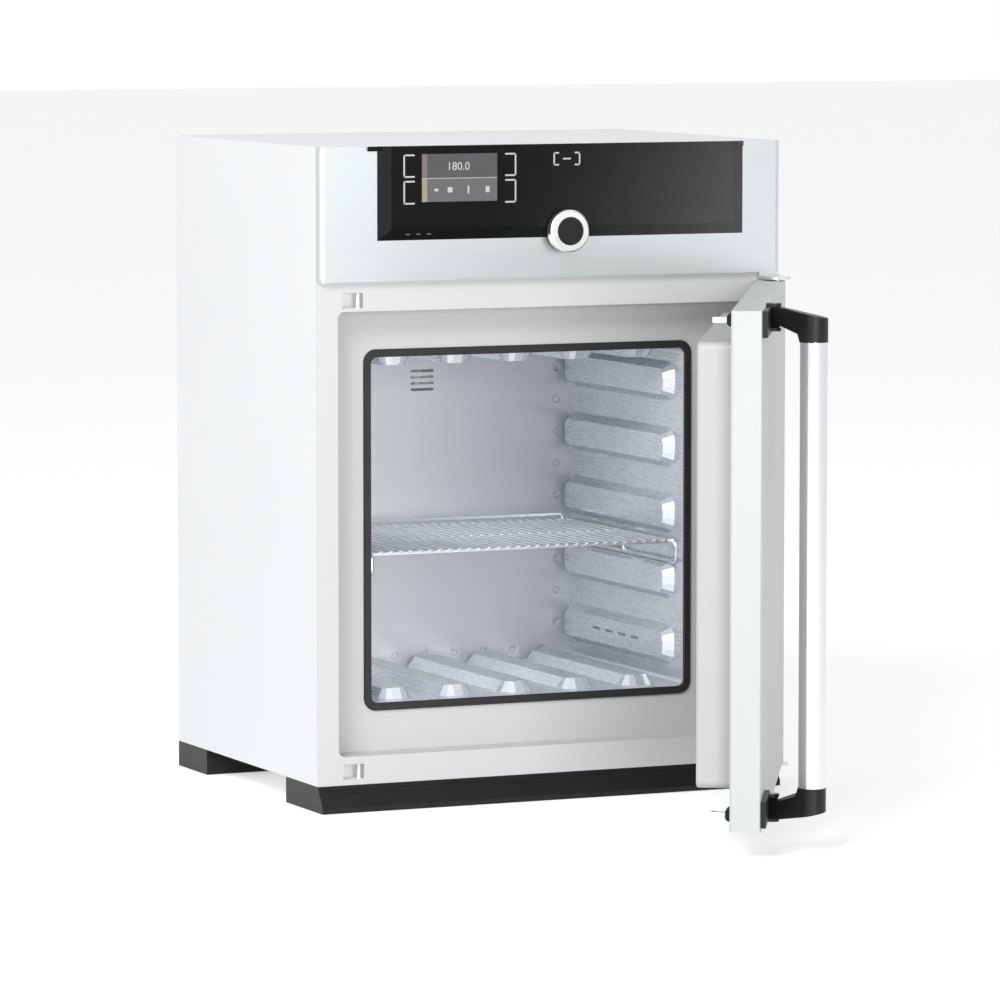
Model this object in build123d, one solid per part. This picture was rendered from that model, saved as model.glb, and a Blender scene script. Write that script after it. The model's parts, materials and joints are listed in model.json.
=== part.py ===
"""Bench hot air sterilizer: a double-walled cabinet with a ribbed stainless chamber and a swinging door.

Frame: X to the right seen from the front, Y to the back, Z up, in millimetres.
Origin: middle of the width, in the plane of the front frame, on the surface that the feet stand on.
The door is drawn shut, then turned about its hinge to the angle at which it stands open.
"""

import os
from math import cos, radians, sin

from build123d import *

# Cabinet
cabinet_width = 585
side_depth = 440
foot_height = 30
front_height = 577.5
fascia_height = 154
sheet = 1.2
frame_sheet = 1.5
fold_width = 14
cover_fold = 21
frame_return = 12

# Foot rails
front_rail_depth = 97
rear_rail_depth = 93
rail_toe = 14
rail_toe_height = 6
rail_wall = 4
rail_groove = 1.6
rail_groove_levels = (20.5, 25)

# Door recess in the front frame
recess_side_margin = 26
recess_top_margin = 34
recess_bottom_margin = 32.5
recess_depth = 39
recess_radius = 8

# Chamber
chamber_left_margin = 56.5
chamber_right_margin = 76.5
chamber_end_margin = 55.5
chamber_rear_space = 81
chamber_radius = 8
liner_sheet = 1.0
seal_width = 9
seal_proud = 3
seal_radius = 15

# Pressed ribs of the chamber walls
rib_count = 5
rib_pitch_share = 0.1955
rib_width = 47
rib_slope = 8
rib_depth = 12
rib_corner = 18
rib_corner_flats = 3
rib_front_setback = 23
rib_rear_setback = 5
rib_raise = 1.5
vent_slot_count = 4
vent_slot_pitch = 36
vent_slot_length = 22
vent_slot_height = 3
vent_slot_first = 97

# Rear wall of the chamber
dimple_radius = 5
dimple_depth = 2
dimple_sides = 12
dimple_column_count = 9
dimple_row_count = 6
dimple_edge = 17
dimple_floor = 12
louvre_count = 4
louvre_pitch = 7.5
louvre_length = 30
louvre_height = 3.2
louvre_offset = 4
louvre_from_top = 54

# Heaters and insulation
heater_width = 18
heater_setback = 21
heater_thickness = 2.5
blanket_gap = 0.5
rear_blanket_depth = 34

# Exhaust
tube_radius = 22
tube_wall = 1.5
spigot_length = 20
spigot_step = 0.3
flap_gap = 0.4
flap_thickness = 1.5
flap_from_end = 28
flap_shaft_radius = 2
flap_shaft_reach = 12
motor_radius = 15
motor_height = 34
motor_overlap = 6
shaft_clearance = 0.05

# Fascia and control panel
fascia_proud = 8
fascia_radius = 7
panel_left_margin = 71.5
panel_right_margin = 49.5
panel_height = 107.5
panel_proud = 6
panel_bevel_side = 15
panel_bevel_bottom = 13
panel_wall = 2.5
panel_neck = 14
window_margin = 6
display_width = 94
display_height = 54.6
display_thickness = 1.8
display_from_left = 100
display_from_top = 36.7

# Rotary knob
knob_from_left = 232.5
knob_from_top = 100
knob_ring_radius = 24.5
knob_cap_radius = 16.3
knob_collar_radius = 21.5
knob_gap = 2.2
knob_collar_depth = 2.8
knob_ring_depth = 11
knob_shaft_radius = 3
knob_shaft_seat = 9

# Door
door_gap = 3
door_thickness = 34
door_top_gap = 9.5
door_bottom_gap = 1
door_radius = 3
door_block_side_gap = 9
door_block_end_gap = 11.5
door_seal_gap = 0.5
door_open_angle = 60.7
hinge_from_edge = 13.5
hinge_from_face = 9

# Hinges
hinge_plate = 3
hinge_gap = 2
hinge_pin_radius = 4
hinge_plate_width = 27
bush_wall = 3.5
bush_length = 14

# Handle
handle_radius = 15
handle_tube_wall = 1.5
handle_from_edge = 59
handle_reach = 53
handle_tube_drop = 36
barrel_from_edge = 82
barrel_reach = 9
barrel_radius = 7.5
barrel_height = 23
barrel_gap = 0.3
ear_height = 3.4
arm_cap = 10
arm_slope = 6
arm_fall = 11
pivot_pin_radius = 3
base_plate_thickness = 5.5
base_plate_height = 29
handle_raise = 2.5
handle_turn = 22

# Latch
latch_from_edge = 39.5
latch_from_top = 12
latch_from_bottom = 14
tongue_width = 6
tongue_height = 6
tongue_reach = 22
nose_length = 5
nose_depth = 5
tongue_boss_radius = 7
tongue_pin_radius = 2.5
pocket_width = 26
pocket_height = 18
pocket_depth = 26
pocket_room = 5
strike_pin_radius = 2
strike_pin_from_tongue = 15
strike_pin_y = 9
guide_proud = 6.5
guide_clearance = 2

# Shelf
shelf_wire_radius = 1.4
shelf_bar_radius = 2.6
shelf_cross_radius = 2.3
shelf_weld = 1
wire_sides = 8
shelf_wire_pitch = 12.6
shelf_rise = 24
shelf_front_gap = 7
shelf_rear_gap = 24
shelf_wall_gap = 3
shelf_seat_gap = 0.3
shelf_rib = 1
shelf_stop_height = 9
shelf_stop_radius = 2.1
shelf_stop_bend = 4
shelf_bend = 7

# Electronics
encoder_half = 7
encoder_front = -2
encoder_bush_wall = 1.4
encoder_room = 0.3
plunger_front = 1
plunger_length = 2.2
plunger_radius = 2.5
board_thickness = 1.6
supply_from_edge = 252.5
supply_front = 190
supply_width = 160
supply_depth = 140
supply_base = 6
supply_blocks = ((20, 20, 50, 45, 38), (85, 20, 30, 30, 24), (85, 70, 30, 40, 20))
inlet_from_edge = 102.5
inlet_width = 28
inlet_height = 22
inlet_wall = 2
inlet_flange = 5
inlet_depth = 22
blade_places = ((-7, -3), (7, -3), (0, 3))
blade_length = 9

# Slots of the rear panel
slot_rows = 8
slot_pitch = 9
slot_length = 80
slot_height = 4
slot_from_middle = 90

# Fasteners
screw_count = 5
screw_end_margin = 40
screw_head_radius = 3.6
screw_head_height = 2

half_width = cabinet_width / 2
front_top = foot_height + front_height
cabinet_top = front_top + fascia_height
cover_seam = cabinet_top - cover_fold
recess_left = -half_width + recess_side_margin
recess_right = half_width - recess_side_margin
recess_bottom = foot_height + recess_bottom_margin
recess_top = front_top - recess_top_margin
chamber_left = recess_left + chamber_left_margin
chamber_right = recess_right - chamber_right_margin
chamber_bottom = recess_bottom + chamber_end_margin
chamber_top = recess_top - chamber_end_margin
chamber_mid_x = (chamber_left + chamber_right) / 2
chamber_mid_z = (chamber_bottom + chamber_top) / 2
chamber_front = recess_depth + frame_sheet
chamber_back = side_depth - chamber_rear_space
side_rib_pitch = rib_pitch_share * (chamber_top - chamber_bottom)
floor_rib_pitch = rib_pitch_share * (chamber_right - chamber_left)
louvre_x = chamber_mid_x + louvre_offset
louvre_z = chamber_top - louvre_from_top
tray_top = foot_height + 2 * sheet
rear_panel_front = side_depth - 2 * sheet

door_back = -door_gap
door_front = -door_gap - door_thickness
door_top = front_top - door_top_gap
door_bottom = foot_height + door_bottom_gap
hinge_x = half_width - hinge_from_edge
hinge_y = door_front + hinge_from_face
barrel_x = -half_width + barrel_from_edge
barrel_y = door_front - barrel_reach
handle_x = -half_width + handle_from_edge
handle_y = door_front - handle_reach
barrel_top = door_top
handle_tube_top = door_top - handle_tube_drop
handle_mid_z = (door_bottom + door_top) / 2 + handle_raise
tongue_x = -half_width + latch_from_edge
tongue_y = door_front + door_thickness / 2
latch_top_z = door_top - latch_from_top
latch_bottom_z = door_bottom + latch_from_bottom
pocket_left = tongue_x - tongue_width / 2 - pocket_room
pocket_right = pocket_left + pocket_width
block_face = recess_depth - seal_proud - door_seal_gap
panel_left = -half_width + panel_left_margin
panel_right = half_width - panel_right_margin
display_x = panel_left + display_from_left
display_z = cabinet_top - display_from_top
knob_x = panel_left + knob_from_left
knob_z = cabinet_top - knob_from_top


def block(x0, x1, y0, y1, z0, z1):
    """A box between two corners."""
    return Pos((x0 + x1) / 2, (y0 + y1) / 2, (z0 + z1) / 2) * Box(x1 - x0, y1 - y0, z1 - z0)


def slab(x0, x1, y0, y1, z0, z1, radius):
    """A box whose edges along Y are rounded."""
    face = Pos((x0 + x1) / 2, (z0 + z1) / 2) * RectangleRounded(x1 - x0, z1 - z0, radius)
    return extrude(Plane((0, y1, 0), x_dir=(1, 0, 0), z_dir=(0, -1, 0)) * face, y1 - y0)


def post(x, y, z0, z1, radius):
    """A round bar along Z."""
    return Pos(x, y, (z0 + z1) / 2) * Cylinder(radius, z1 - z0)


def rod(x, z, y0, y1, radius):
    """A round bar along Y."""
    return Pos(x, (y0 + y1) / 2, z) * Rot(90, 0, 0) * Cylinder(radius, y1 - y0)


def mirrored(shape, z):
    """The same shape turned over about a level plane."""
    return mirror(shape, Plane((0, 0, z), z_dir=(0, 0, 1)))


def opened(shape):
    """A piece of the door, turned from shut to the angle at which it stands open."""
    return shape.rotate(Axis((hinge_x, hinge_y, 0), (0, 0, 1)), door_open_angle)


def save(name, shape):
    """Write one piece."""
    export_step(shape, f"parts/{name}.step")


# Feet

def foot_rail(y0, y1, toe):
    """A full-width rail, hollow above, whose front leans out to a toe and has two grooves near its top."""
    front = Polyline(
        (y0 - toe, 0), (y1, 0), (y1, foot_height), (y0, foot_height), (y0 - toe, rail_toe_height), close=True
    )
    solid = Pos(-half_width, 0, 0) * extrude(Plane.YZ * make_face(front), cabinet_width)
    inner = half_width - rail_wall
    solid -= block(-inner, inner, y0 + rail_wall, y1 - rail_wall, rail_wall, foot_height)
    for z in rail_groove_levels:
        depth = y0 + rail_groove - toe * (foot_height - z) / (foot_height - rail_toe_height)
        solid -= block(-half_width, half_width, y0 - toe, depth, z, z + rail_groove)
    return solid


def bracket_room():
    """The space that the lower hinge plate takes in the front rail."""
    x0 = hinge_x - hinge_plate_width / 2
    y1 = front_rail_depth - rail_wall
    return block(x0, half_width, -rail_toe, y1, foot_height - hinge_plate, foot_height)


# Casing

def side_panel(side):
    """One side of the casing: a sheet with folds at the rear, top and bottom."""
    outer = side * half_width
    inner = side * (half_width - sheet)
    tip = side * (half_width - sheet - fold_width)
    x0, x1 = sorted((outer, inner))
    f0, f1 = sorted((inner, tip))
    panel = block(x0, x1, frame_sheet, side_depth, foot_height, cover_seam)
    panel += block(f0, f1, side_depth - sheet, side_depth, foot_height, cover_seam)
    panel += block(f0, f1, frame_sheet, side_depth - sheet, foot_height, foot_height + sheet)
    panel += block(f0, f1, frame_return, side_depth - sheet, cover_seam - sheet, cover_seam)
    return panel


def top_cover():
    """The lid of the casing, folded down at both sides and at the rear."""
    inner = half_width - sheet
    outer = block(-half_width, half_width, frame_sheet, side_depth, cover_seam, cabinet_top)
    return outer - block(-inner, inner, frame_sheet, side_depth - sheet, cover_seam, cabinet_top - sheet)


def base_tray():
    inner = half_width - sheet
    return block(-inner, inner, frame_sheet, side_depth - sheet, foot_height + sheet, tray_top)


def rear_panel():
    """The back of the casing, with the spigot hole, the inlet window and two banks of slots."""
    inner = half_width - sheet
    panel = block(-inner, inner, rear_panel_front, side_depth - sheet, tray_top, cover_seam - sheet)
    panel -= rod(louvre_x, louvre_z, rear_panel_front, side_depth, tube_radius + blanket_gap)
    panel -= block(inlet_left, inlet_right, rear_panel_front, side_depth, inlet_bottom, inlet_top)
    for x in (-slot_from_middle, slot_from_middle):
        for row in range(slot_rows):
            z = front_top + foot_height + row * slot_pitch
            x0, x1 = x - slot_length / 2, x + slot_length / 2
            panel -= block(x0, x1, rear_panel_front, side_depth, z, z + slot_height)
    return panel


def front_frame():
    """The white front: a face with a deep door recess, an opening for the chamber and two latch windows."""
    inner = half_width - sheet
    frame = block(-half_width, half_width, 0, frame_sheet, foot_height, front_top)
    t = frame_sheet
    x0, x1, z0, z1 = recess_left - t, recess_right + t, recess_bottom - t, recess_top + t
    frame += slab(x0, x1, 0, chamber_front, z0, z1, recess_radius + t)
    frame -= slab(recess_left, recess_right, 0, recess_depth, recess_bottom, recess_top, recess_radius)
    frame -= slab(chamber_left, chamber_right, 0, chamber_front, chamber_bottom, chamber_top, chamber_radius)
    for side in (-1, 1):
        x0, x1 = sorted((side * inner, side * (inner - t)))
        frame += block(x0, x1, t, frame_return, tray_top, front_top - sheet)
    for z in (latch_top_z, latch_bottom_z):
        frame -= block(pocket_left, pocket_right, 0, t, z - pocket_height / 2, z + pocket_height / 2)
    return frame


def electronics_tray():
    """The floor of the compartment that holds the electronics."""
    inner = half_width - sheet
    return block(-inner, inner, frame_sheet, rear_panel_front, front_top - sheet, front_top)


# Chamber

def eased_plate(length, width, corner, z):
    """A rectangle at one level whose corners are turned in a few equal flats."""
    points = []
    for quarter, sx, sy in ((0, 1, 1), (1, -1, 1), (2, -1, -1), (3, 1, -1)):
        for k in range(rib_corner_flats + 1):
            a = radians(90 * (quarter + k / rib_corner_flats))
            x = sx * (length / 2 - corner) + corner * cos(a)
            points.append((x, sy * (width / 2 - corner) + corner * sin(a), z))
    return make_face(Polyline(*points, close=True))


def rib(length, inset, base):
    """One pressed rib lying along X, from the XY plane up, with steep sides and long eased ends."""
    length, width = length - 2 * inset, rib_width - 2 * inset
    corner = rib_corner - inset
    foot = eased_plate(length, width, corner, base)
    slope = 2 * rib_slope
    top = eased_plate(length - slope, width - slope, corner - rib_slope, base + rib_depth)
    return loft([foot, top], ruled=True)


def rib_frames():
    """Where each rib stands: its middle on the wall, pointing into the chamber, by wall."""
    middle_y = (recess_depth + rib_front_setback + chamber_back - rib_rear_setback) / 2
    frames = {"left": [], "right": [], "floor": [], "ceiling": []}
    for k in range(rib_count):
        step = k - (rib_count - 1) / 2
        z = chamber_mid_z + rib_raise + step * side_rib_pitch
        x = chamber_mid_x + step * floor_rib_pitch
        frames["left"].append(Plane((chamber_left, middle_y, z), x_dir=(0, 1, 0), z_dir=(1, 0, 0)))
        frames["right"].append(Plane((chamber_right, middle_y, z), x_dir=(0, 1, 0), z_dir=(-1, 0, 0)))
        frames["floor"].append(Plane((x, middle_y, chamber_bottom), x_dir=(0, 1, 0), z_dir=(0, 0, 1)))
        frames["ceiling"].append(Plane((x, middle_y, chamber_top), x_dir=(0, 1, 0), z_dir=(0, 0, -1)))
    return frames


ribs = rib_frames()
rib_length = chamber_back - rib_rear_setback - recess_depth - rib_front_setback


def chamber_liner():
    """Four walls of the chamber in one sheet, with deep-drawn ribs that are hollow from outside."""
    t = liner_sheet
    x0, x1, y0, y1 = chamber_left, chamber_right, chamber_front, chamber_back
    liner = slab(x0 - t, x1 + t, y0, y1, chamber_bottom - t, chamber_top + t, chamber_radius + t)
    liner -= slab(x0, x1, y0, y1, chamber_bottom, chamber_top, chamber_radius)
    places = [place for wall in ribs.values() for place in wall]
    liner += [place * rib(rib_length, 0, 0) for place in places]
    liner -= [place * rib(rib_length, t, -t) for place in places]
    z = chamber_mid_z + rib_raise - (rib_count - 1) / 2 * side_rib_pitch
    for k in range(vent_slot_count):
        y = recess_depth + vent_slot_first + k * vent_slot_pitch
        x = chamber_right - rib_depth
        liner -= block(x - t, x + 2 * t, y, y + vent_slot_length, z, z + vent_slot_height)
    return liner


def dimple(radius, back):
    """A round pressing along Y, wide at the wall and narrower at its bottom."""
    mouth = Plane.XZ.offset(-back) * RegularPolygon(radius, dimple_sides)
    floor = Plane.XZ.offset(-back - dimple_depth) * RegularPolygon(radius - dimple_depth, dimple_sides)
    return loft([mouth, floor], ruled=True)


def rear_wall():
    """The back of the chamber, with a column and a row of dimples and a louvre."""
    t = liner_sheet
    y0, y1 = chamber_back, chamber_back + t
    wall = slab(
        chamber_left - t, chamber_right + t, y0, y1, chamber_bottom - t, chamber_top + t, chamber_radius + t
    )
    column_x = chamber_right - dimple_edge
    row_z = chamber_bottom + dimple_floor
    lowest = chamber_mid_z - (dimple_column_count - 1) / 2 * side_rib_pitch / 2
    spots = [(column_x, lowest + k * side_rib_pitch / 2) for k in range(dimple_column_count)]
    spots += [(column_x - (k + 0.5) * floor_rib_pitch / 2, row_z) for k in range(dimple_row_count)]
    pressing = dimple(dimple_radius + t, t)
    hollow = dimple(dimple_radius, 0)
    wall += [Pos(x, chamber_back, z) * pressing for x, z in spots]
    wall -= [Pos(x, chamber_back, z) * hollow for x, z in spots]
    x0, x1 = louvre_x - louvre_length / 2, louvre_x + louvre_length / 2
    for k in range(louvre_count):
        z = louvre_z + (k - (louvre_count - 1) / 2) * louvre_pitch
        wall -= block(x0, x1, y0, y1, z - louvre_height / 2, z + louvre_height / 2)
    return wall


def door_seal():
    """The black seal round the mouth of the chamber, bedded on the floor of the recess."""
    w = seal_width
    y0, y1 = recess_depth - seal_proud, recess_depth
    seal = slab(chamber_left - w, chamber_right + w, y0, y1, chamber_bottom - w, chamber_top + w, seal_radius)
    seal -= slab(chamber_left, chamber_right, y0, y1, chamber_bottom, chamber_top, chamber_radius)
    return chamfer(seal.faces().sort_by(Axis.Y)[0].edges(), seal_proud / 3)


# Heating and insulation

def heater(wall):
    """The flat heating elements of one wall, one in the hollow of each rib."""
    strip = extrude(Rectangle(rib_length - 2 * heater_setback, heater_width), heater_thickness)
    seat = rib_depth - liner_sheet - heater_thickness
    return Compound([place * Pos(0, 0, seat) * strip for place in ribs[wall]])


def insulation():
    """Blankets of mineral wool on the five closed sides of the chamber."""
    t = liner_sheet + blanket_gap
    inner = half_width - sheet - frame_sheet - blanket_gap
    y0, y1 = chamber_front + blanket_gap, chamber_back + liner_sheet
    z0, z1 = tray_top + blanket_gap, front_top - sheet - blanket_gap
    left = block(-inner, chamber_left - t, y0, y1, z0, z1)
    right = block(chamber_right + t, inner, y0, y1, z0, z1)
    top = block(chamber_left - t, chamber_right + t, y0, y1, chamber_top + t, z1)
    bottom = block(chamber_left - t, chamber_right + t, y0, y1, z0, chamber_bottom - t)
    rear = block(-inner, inner, y1 + dimple_depth + blanket_gap, y1 + rear_blanket_depth, z0, z1)
    rear -= rod(louvre_x, louvre_z, y1, y1 + rear_blanket_depth, tube_radius + blanket_gap)
    return {"left": left, "right": right, "top": top, "bottom": bottom, "rear": rear}


# Exhaust

tube_start = chamber_back + liner_sheet
tube_end = side_depth + spigot_length
flap_y = side_depth - flap_from_end


def exhaust_tube():
    """The pipe from the louvre to the spigot at the rear, bored across for the flap's shaft."""
    tube = rod(louvre_x, louvre_z, tube_start, side_depth, tube_radius - spigot_step)
    tube += rod(louvre_x, louvre_z, side_depth, tube_end, tube_radius)
    tube -= rod(louvre_x, louvre_z, tube_start, tube_end, tube_radius - tube_wall)
    reach = tube_radius
    tube -= post(louvre_x, flap_y, louvre_z - reach, louvre_z + reach, flap_shaft_radius + shaft_clearance)
    return tube


def exhaust_flap():
    """A round flap on a shaft that reaches up into its motor."""
    half = flap_thickness / 2
    disc = rod(louvre_x, louvre_z, flap_y - half, flap_y + half, tube_radius - tube_wall - flap_gap)
    z0, z1 = louvre_z - tube_radius, louvre_z + tube_radius + flap_shaft_reach
    return disc + post(louvre_x, flap_y, z0, z1, flap_shaft_radius)


def flap_motor():
    """The motor that turns the flap, in a saddle on the pipe."""
    z0 = louvre_z + tube_radius - motor_overlap
    z1 = louvre_z + tube_radius + flap_shaft_reach + 1
    motor = post(louvre_x, flap_y, z0, z0 + motor_height, motor_radius)
    seat = tube_radius - spigot_step
    motor -= rod(louvre_x, louvre_z, flap_y - motor_radius, flap_y + motor_radius, seat)
    return motor - post(louvre_x, flap_y, z0, z1, flap_shaft_radius + shaft_clearance)


# Electronics

panel_bottom = cabinet_top - panel_height
panel_face = -fascia_proud - panel_proud
window_left = panel_left + window_margin
window_right = panel_right - window_margin
window_bottom = panel_bottom + 2
window_top = cabinet_top - window_margin
board_front = panel_neck - fascia_proud
inlet_left = half_width - inlet_from_edge
inlet_right = inlet_left + inlet_width
inlet_bottom = front_top + inlet_height
inlet_top = inlet_bottom + inlet_height


def fascia():
    """The brushed steel head of the cabinet, a shallow shell with rounded upright edges."""
    t = frame_sheet
    shell = block(-half_width, half_width, -fascia_proud, t, front_top, cabinet_top)
    upright = shell.edges().filter_by(Axis.Z).filter_by(lambda e: e.center().Y < 0)
    shell = fillet(upright, fascia_radius)
    shell -= block(-half_width + t, half_width - t, -fascia_proud + t, t, front_top + t, cabinet_top - t)
    shell -= block(window_left, window_right, -fascia_proud, t, window_bottom, window_top)
    return shell


def panel_slopes():
    """What the slopes along the panel's two sides and its lower edge take off."""
    y0, y1, z = panel_face, -fascia_proud, panel_bottom
    below = Polyline((y0, z), (y1, z), (y0, z + panel_bevel_bottom), close=True)
    slopes = [Pos(panel_left, 0, 0) * extrude(Plane.YZ * make_face(below), panel_right - panel_left)]
    for x, inward in ((panel_left, 1), (panel_right, -1)):
        beside = Polyline((x, y0), (x, y1), (x + inward * panel_bevel_side, y0), close=True)
        slopes.append(Pos(0, 0, z) * extrude(Plane.XY * make_face(beside), panel_height))
    return slopes


def control_panel():
    """The black panel: a bevelled front, a neck through the fascia, and the knob's hole."""
    panel = block(panel_left, panel_right, panel_face, -fascia_proud, panel_bottom, cabinet_top)
    panel -= panel_slopes()
    w = panel_wall
    neck = block(window_left, window_right, -fascia_proud, board_front, window_bottom, window_top)
    neck -= block(
        window_left + w, window_right - w, -fascia_proud, board_front, window_bottom + w, window_top - w
    )
    panel += neck
    panel -= display()
    hole = knob_shaft_radius + encoder_bush_wall + encoder_room
    return panel - rod(knob_x, knob_z, panel_face, board_front, hole)


def display():
    """The display, bedded flush in the panel's face."""
    x0, x1 = display_x - display_width / 2, display_x + display_width / 2
    z0, z1 = display_z - display_height / 2, display_z + display_height / 2
    return block(x0, x1, panel_face, panel_face + display_thickness, z0, z1)


def control_board():
    y0, y1 = board_front, board_front + board_thickness
    return block(window_left, window_right, y0, y1, window_bottom, window_top)


def encoder():
    """The switch behind the knob: a square body and a bush that guides the knob's shaft."""
    x0, x1 = knob_x - encoder_half, knob_x + encoder_half
    z0, z1 = window_bottom + panel_wall, knob_z + encoder_half
    body = block(x0, x1, encoder_front, board_front, z0, z1)
    reach = knob_shaft_radius + encoder_bush_wall
    bush = rod(knob_x, knob_z, panel_face + encoder_room, encoder_front, reach)
    bore = knob_shaft_radius + shaft_clearance
    return body + bush - rod(knob_x, knob_z, panel_face, board_front - encoder_room, bore)


def power_supply():
    """The power board with its transformer and relay blocks, on the compartment's floor."""
    x0, y0, z0, z1 = half_width - supply_from_edge, supply_front, front_top, front_top + supply_base
    board = block(x0, x0 + supply_width, y0, y0 + supply_depth, z0, z1)
    for x, y, width, depth, height in supply_blocks:
        board += block(x0 + x, x0 + x + width, y0 + y, y0 + y + depth, z1, z1 + height)
    return board


def mains_inlet():
    """The appliance inlet at the rear: a flanged cup with three blades."""
    y = side_depth - sheet
    x0, x1, z0, z1 = inlet_left, inlet_right, inlet_bottom, inlet_top
    wall, reach = inlet_wall, inlet_flange
    inlet = block(x0 - reach, x1 + reach, y, y + wall, z0 - reach, z1 + reach)
    inlet += block(x0 + 0.3, x1 - 0.3, y - inlet_depth, y, z0 + 0.3, z1 - 0.3)
    inlet -= block(x0 + wall, x1 - wall, y - inlet_depth + wall, y + wall, z0 + wall, z1 - wall)
    for x, z in blade_places:
        bx, bz = (x0 + x1) / 2 + x, (z0 + z1) / 2 + z
        inlet += block(bx - 1, bx + 1, y - inlet_depth, y - inlet_depth + blade_length, bz - 2, bz + 2)
    return inlet


# Knob

knob_back = panel_face - knob_gap
ring_back = knob_back - knob_collar_depth
knob_front = ring_back - knob_ring_depth


def knob_ring():
    ring = rod(knob_x, knob_z, knob_front, ring_back, knob_ring_radius)
    ring = chamfer(ring.faces().sort_by(Axis.Y)[0].edges(), 2)
    return ring - rod(knob_x, knob_z, knob_front, ring_back, knob_cap_radius + 0.1)


def knob_cap():
    """The black middle of the knob, with the collar behind the ring."""
    cap = rod(knob_x, knob_z, knob_front - 0.6, ring_back, knob_cap_radius)
    cap = chamfer(cap.faces().sort_by(Axis.Y)[0].edges(), 1)
    cap += rod(knob_x, knob_z, ring_back, knob_back, knob_collar_radius)
    return cap - rod(knob_x, knob_z, knob_back - knob_shaft_seat, knob_back, knob_shaft_radius)


def knob_shaft():
    return rod(knob_x, knob_z, knob_back - knob_shaft_seat, plunger_front, knob_shaft_radius)


def push_plunger():
    """The small plunger that the shaft presses when the knob is pushed."""
    return rod(knob_x, knob_z, plunger_front, plunger_front + plunger_length, plunger_radius)


# Hinges

def hinge_bracket(upper):
    """A steel plate that carries a pin out in front of the frame."""
    x0 = hinge_x - hinge_plate_width / 2
    reach = hinge_y - hinge_plate_width / 2
    if upper:
        z0 = door_top + hinge_gap
        bracket = block(x0, half_width, reach, 0, z0, z0 + hinge_plate)
        bracket += block(x0, half_width, -fascia_proud + 0.3, 0, z0 + hinge_plate, front_top)
    else:
        z0 = foot_height - hinge_plate
        bracket = block(x0, half_width, reach, front_rail_depth - rail_wall, z0, foot_height)
    edges = bracket.edges().filter_by(Axis.Z).filter_by(lambda e: e.center().Y < reach + 1)
    bracket = fillet(edges, 8)
    return bracket - post(hinge_x, hinge_y, z0, z0 + hinge_plate, hinge_pin_radius)


def hinge_pin(upper):
    if upper:
        z0, z1 = door_top - bush_length, door_top + hinge_gap + hinge_plate
    else:
        z0, z1 = foot_height - hinge_plate, door_bottom + bush_length
    return post(hinge_x, hinge_y, z0, z1, hinge_pin_radius)


def hinge_bush(upper):
    """A plain bush fixed in the door, with its collar against the door's end."""
    z0 = door_top - sheet - bush_length if upper else door_bottom + sheet
    bush = post(hinge_x, hinge_y, z0, z0 + bush_length, hinge_pin_radius + bush_wall)
    return bush - post(hinge_x, hinge_y, z0 - 1, z0 + bush_length + 1, hinge_pin_radius + shaft_clearance)


# Latch

def strike(z):
    """A cup behind a latch window, with the upright pin that the tongue's nose hooks behind."""
    y0, y1 = frame_sheet, frame_sheet + pocket_depth
    z0, z1 = z - pocket_height / 2, z + pocket_height / 2
    wide = pocket_right + pocket_room
    cup = block(pocket_left - sheet, wide + sheet, y0, y1, z0 - sheet, z1 + sheet)
    cup -= block(pocket_left, wide, y0, y1 - sheet, z0, z1)
    return cup + post(tongue_x + strike_pin_from_tongue, strike_pin_y, z0, z1, strike_pin_radius)


def tongue(z):
    """A flat hook that turns on a pin inside the door and reaches out of its inner face."""
    half = tongue_width / 2
    tip = door_back + tongue_reach
    z0, z1 = z - tongue_height / 2, z + tongue_height / 2
    bar = block(tongue_x - half, tongue_x + half, tongue_y, tip, z0, z1)
    bar += block(tongue_x, tongue_x + half + nose_length, tip - nose_depth, tip, z0, z1)
    bar += post(tongue_x, tongue_y, z0, z1, tongue_boss_radius)
    return bar - post(tongue_x, tongue_y, z0, z1, tongue_pin_radius + shaft_clearance)


def tongue_pin(upper):
    z = latch_top_z if upper else latch_bottom_z
    end = door_top - sheet if upper else door_bottom + sheet
    far = z - tongue_height if upper else z + tongue_height
    return post(tongue_x, tongue_y, min(end, far), max(end, far), tongue_pin_radius)


def latch_guide(z):
    """The black guide round the tongue's slot, on the inner face of the door."""
    half = pocket_height / 2 - guide_clearance
    x0, x1 = pocket_left + guide_clearance, pocket_right - guide_clearance
    guide = block(x0, x1, door_back, door_back + guide_proud, z - half, z + half)
    tall = guide.edges().filter_by(Axis.X).filter_by(lambda e: e.center().Y > door_back + 1)
    guide = chamfer(tall, 3)
    return guide - tongue_slot(z, door_back, door_back + guide_proud)


def tongue_slot(z, y0, y1):
    half = tongue_width / 2
    gap = tongue_height / 2 + 1
    return block(tongue_x - half - 1, tongue_x + half + 7, y0, y1, z - gap, z + gap)


# Handle

def arm_plan(gap):
    """The outline of the handle's arm from above, with a gap all round."""
    ends = Pos(barrel_x, barrel_y) * Circle(barrel_radius + gap)
    ends += Pos(handle_x, handle_y) * Circle(handle_radius + 0.5 + gap)
    return make_hull(ends.edges())


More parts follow.
